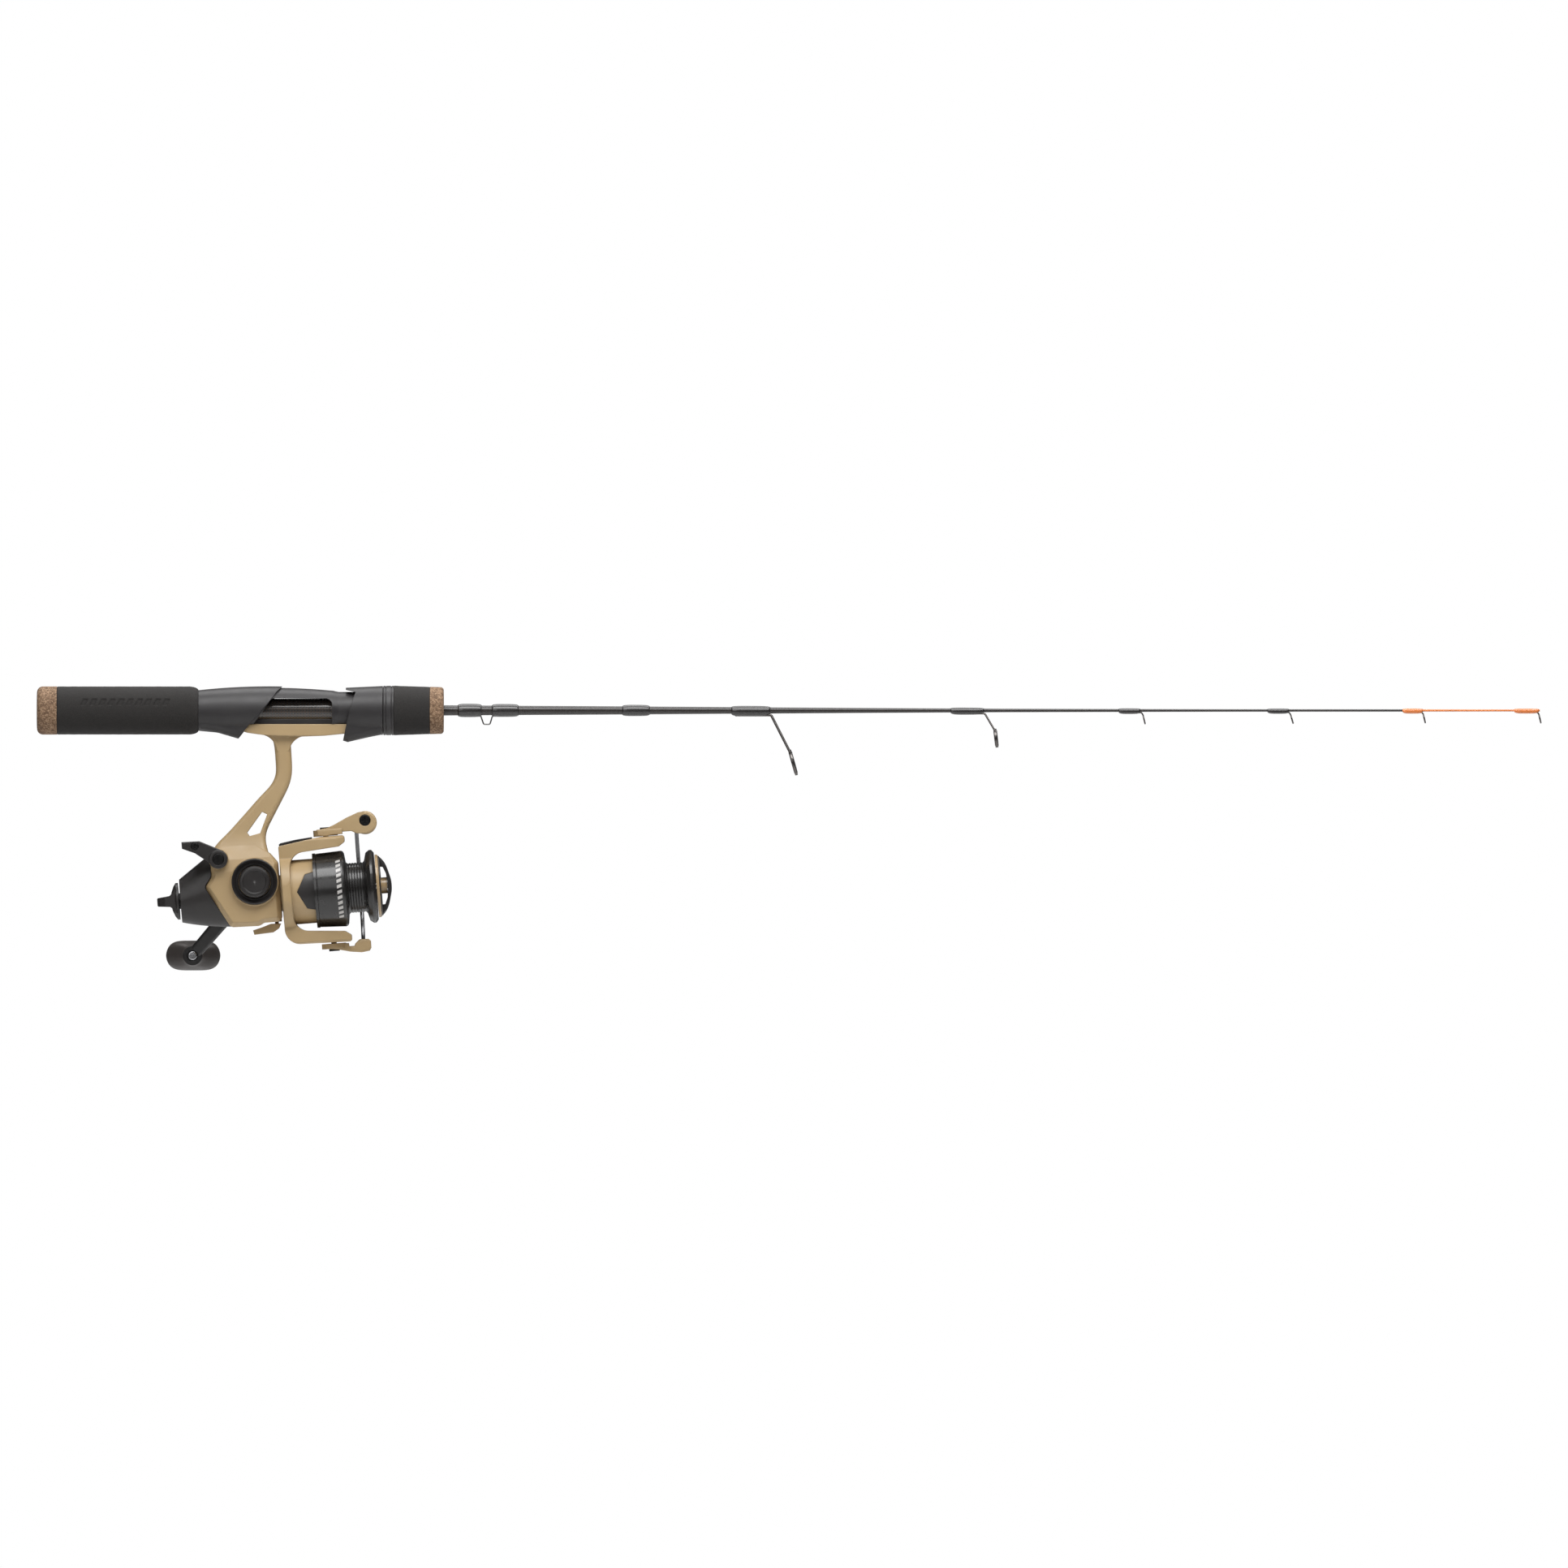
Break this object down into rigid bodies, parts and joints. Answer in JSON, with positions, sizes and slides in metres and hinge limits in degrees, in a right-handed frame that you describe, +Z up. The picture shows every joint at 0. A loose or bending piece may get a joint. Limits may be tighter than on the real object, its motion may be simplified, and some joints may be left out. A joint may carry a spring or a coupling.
{
  "type": "ice fishing rod with spinning reel",
  "caption": "Short ice fishing rod with cork and foam handle, sliding-hood reel seat, line guides, orange tip and a bait-feeder spinning reel below.",
  "frame": {"origin": "centre of the flat butt face, on the rod's axis", "axes": "+X along the rod from butt to tip; +Z up, so the reel hangs towards -Z; +Y to the side the crank is on"},
  "size_m": [0.7614, 0.0894, 0.1445],
  "materials": {
    "burl_cork": "satin",
    "foam": "matte",
    "carbon_tube": "glossy",
    "blank_satin": "satin",
    "tip_orange": "gloss",
    "bushing": "matte",
    "soft_touch": "matte",
    "steel_wire": "satin",
    "wrap_dark": "gloss",
    "wrap_orange": "gloss",
    "guide_frame": "satin",
    "guide_insert": "polished",
    "tan_plastic": "satin",
    "black_plastic": "satin",
    "screw_black": "satin",
    "gear_zinc": "satin",
    "brass_gear": "satin",
    "bearing_steel": "polished",
    "shaft_steel": "polished",
    "crank_metal": "satin",
    "knob_grip": "matte",
    "bail_metal": "polished",
    "roller_metal": "polished",
    "spool_black": "gloss",
    "washer_felt": "matte",
    "tan_ring": "gloss"
  },
  "bodies": {
    "rod": {"butt_cap": "burl_cork", "rear_grip": "foam", "handle_tube": "carbon_tube", "blank": "blank_satin", "tip_section": "tip_orange", "blank_bushings": "bushing", "reel_seat": "soft_touch", "hook_keeper": "steel_wire", "keeper_wraps": "wrap_dark", "guide_wraps": "wrap_dark", "tip_wraps": "wrap_orange", "guide_1_frame": "guide_frame", "guide_2_frame": "guide_frame", "guide_rings": "guide_insert", "guide_3": "guide_frame", "guide_4": "guide_frame", "guide_5": "guide_frame", "tip_guide": "guide_frame", "reel_body": "tan_plastic", "side_cover": "tan_plastic", "rear_cover": "black_plastic", "cover_screws": "screw_black", "side_collar": "black_plastic", "bearings": "bearing_steel", "one_way_clutch": "bearing_steel", "slider_rail": "shaft_steel", "feeder_drag_stack": "washer_felt"},
    "sliding_hood": {"front_hood": "soft_touch"},
    "locking_nut": {"lock_nut": "soft_touch", "fore_grip": "foam", "fore_cork": "burl_cork"},
    "crank": {"drive_gear": "gear_zinc", "crank_axle": "shaft_steel", "crank_arm": "crank_metal", "handle_screw_cap": "black_plastic", "knob_spindle": "shaft_steel"},
    "crank_knob": {"handle_knob": "knob_grip"},
    "oscillator": {"oscillation_gear": "brass_gear"},
    "rotor": {"pinion": "brass_gear", "rotor": "tan_plastic", "rotor_nut": "brass_gear", "rotor_arm_cover": "black_plastic", "rotor_inlays": "black_plastic", "bail_pivot_screws": "screw_black"},
    "bail": {"bail_arm": "tan_plastic", "bail_trip_arm": "tan_plastic", "bail_wire": "bail_metal", "roller_screw": "screw_black"},
    "roller": {"line_roller": "roller_metal"},
    "spool_shaft": {"main_shaft": "shaft_steel", "oscillation_slider": "bushing"},
    "spool": {"spool": "spool_black", "drag_washers": "washer_felt"},
    "front_drag": {"drag_knob": "black_plastic", "drag_knob_base": "tan_ring"},
    "rear_drag": {"rear_drag_knob": "black_plastic"},
    "feeder_switch": {"feeder_lever": "black_plastic", "feeder_lever_screws": "screw_black"},
    "anti_reverse_switch": {"anti_reverse_lever": "tan_plastic"}
  },
  "joints": [
    {"name": "nut_turn", "type": "hinge", "parent": "sliding_hood", "child": "locking_nut", "pos_m": [0.185, 0, 0], "axis": [1, 0, 0], "range_deg": [0, 1080]},
    {"name": "hood_slide", "type": "slide", "parent": "rod", "child": "sliding_hood", "axis": [1, 0, 0], "range_m": [0, 0.006]},
    {"name": "crank_turn", "type": "hinge", "parent": "rod", "child": "crank", "pos_m": [0.11027, 0, -0.08662], "axis": [0, 1, 0], "continuous": true},
    {"name": "rotor_spin", "type": "hinge", "parent": "rod", "child": "rotor", "pos_m": [0.13074, 0, -0.09197], "axis": [0.9971, 0, 0.0767], "continuous": true},
    {"name": "oscillation_gear_turn", "type": "hinge", "parent": "rod", "child": "oscillator", "pos_m": [0.10119, -0.0065, -0.09247], "axis": [0, 1, 0], "continuous": true},
    {"name": "knob_spin", "type": "hinge", "parent": "crank", "child": "crank_knob", "pos_m": [0.07799, 0.055, -0.12428], "axis": [0, 1, 0], "continuous": true},
    {"name": "spool_stroke", "type": "slide", "parent": "rod", "child": "spool_shaft", "axis": [0.9971, 0, 0.0767], "range_m": [0, 0.008]},
    {"name": "spool_spin", "type": "hinge", "parent": "spool_shaft", "child": "spool", "pos_m": [0.16065, 0, -0.08966], "axis": [0.9971, 0, 0.0767], "continuous": true},
    {"name": "front_drag_turn", "type": "hinge", "parent": "spool_shaft", "child": "front_drag", "pos_m": [0.17262, 0, -0.08874], "axis": [0.9971, 0, 0.0767], "range_deg": [-360, 360]},
    {"name": "bail_swing", "type": "hinge", "parent": "rotor", "child": "bail", "pos_m": [0.14819, 0, -0.09062], "axis": [-0.0767, 0, 0.9971], "range_deg": [-110, 0]},
    {"name": "line_roller_spin", "type": "hinge", "parent": "bail", "child": "roller", "pos_m": [0.16604, 0.0044, -0.05675], "axis": [0, 1, 0], "continuous": true},
    {"name": "rear_drag_turn", "type": "hinge", "parent": "rod", "child": "rear_drag", "pos_m": [0.07092, 0, -0.09657], "axis": [0.9971, 0, 0.0767], "range_deg": [-360, 360]},
    {"name": "feeder_lever_swing", "type": "hinge", "parent": "rod", "child": "feeder_switch", "pos_m": [0.09195, -0.015, -0.07529], "axis": [0, 1, 0], "range_deg": [0, 30]},
    {"name": "anti_reverse_swing", "type": "hinge", "parent": "rod", "child": "anti_reverse_switch", "pos_m": [0.12119, 0, -0.10474], "axis": [-0.0767, 0, 0.9971], "range_deg": [-12, 12]}
  ],
  "couplings": [
    {"joint": "rotor_spin", "follows": "crank_turn", "ratio": -5.1667},
    {"joint": "oscillation_gear_turn", "follows": "crank_turn", "ratio": -0.5},
    {"joint": "hood_slide", "follows": "nut_turn", "m_per_rad": 0.00031831}
  ]
}
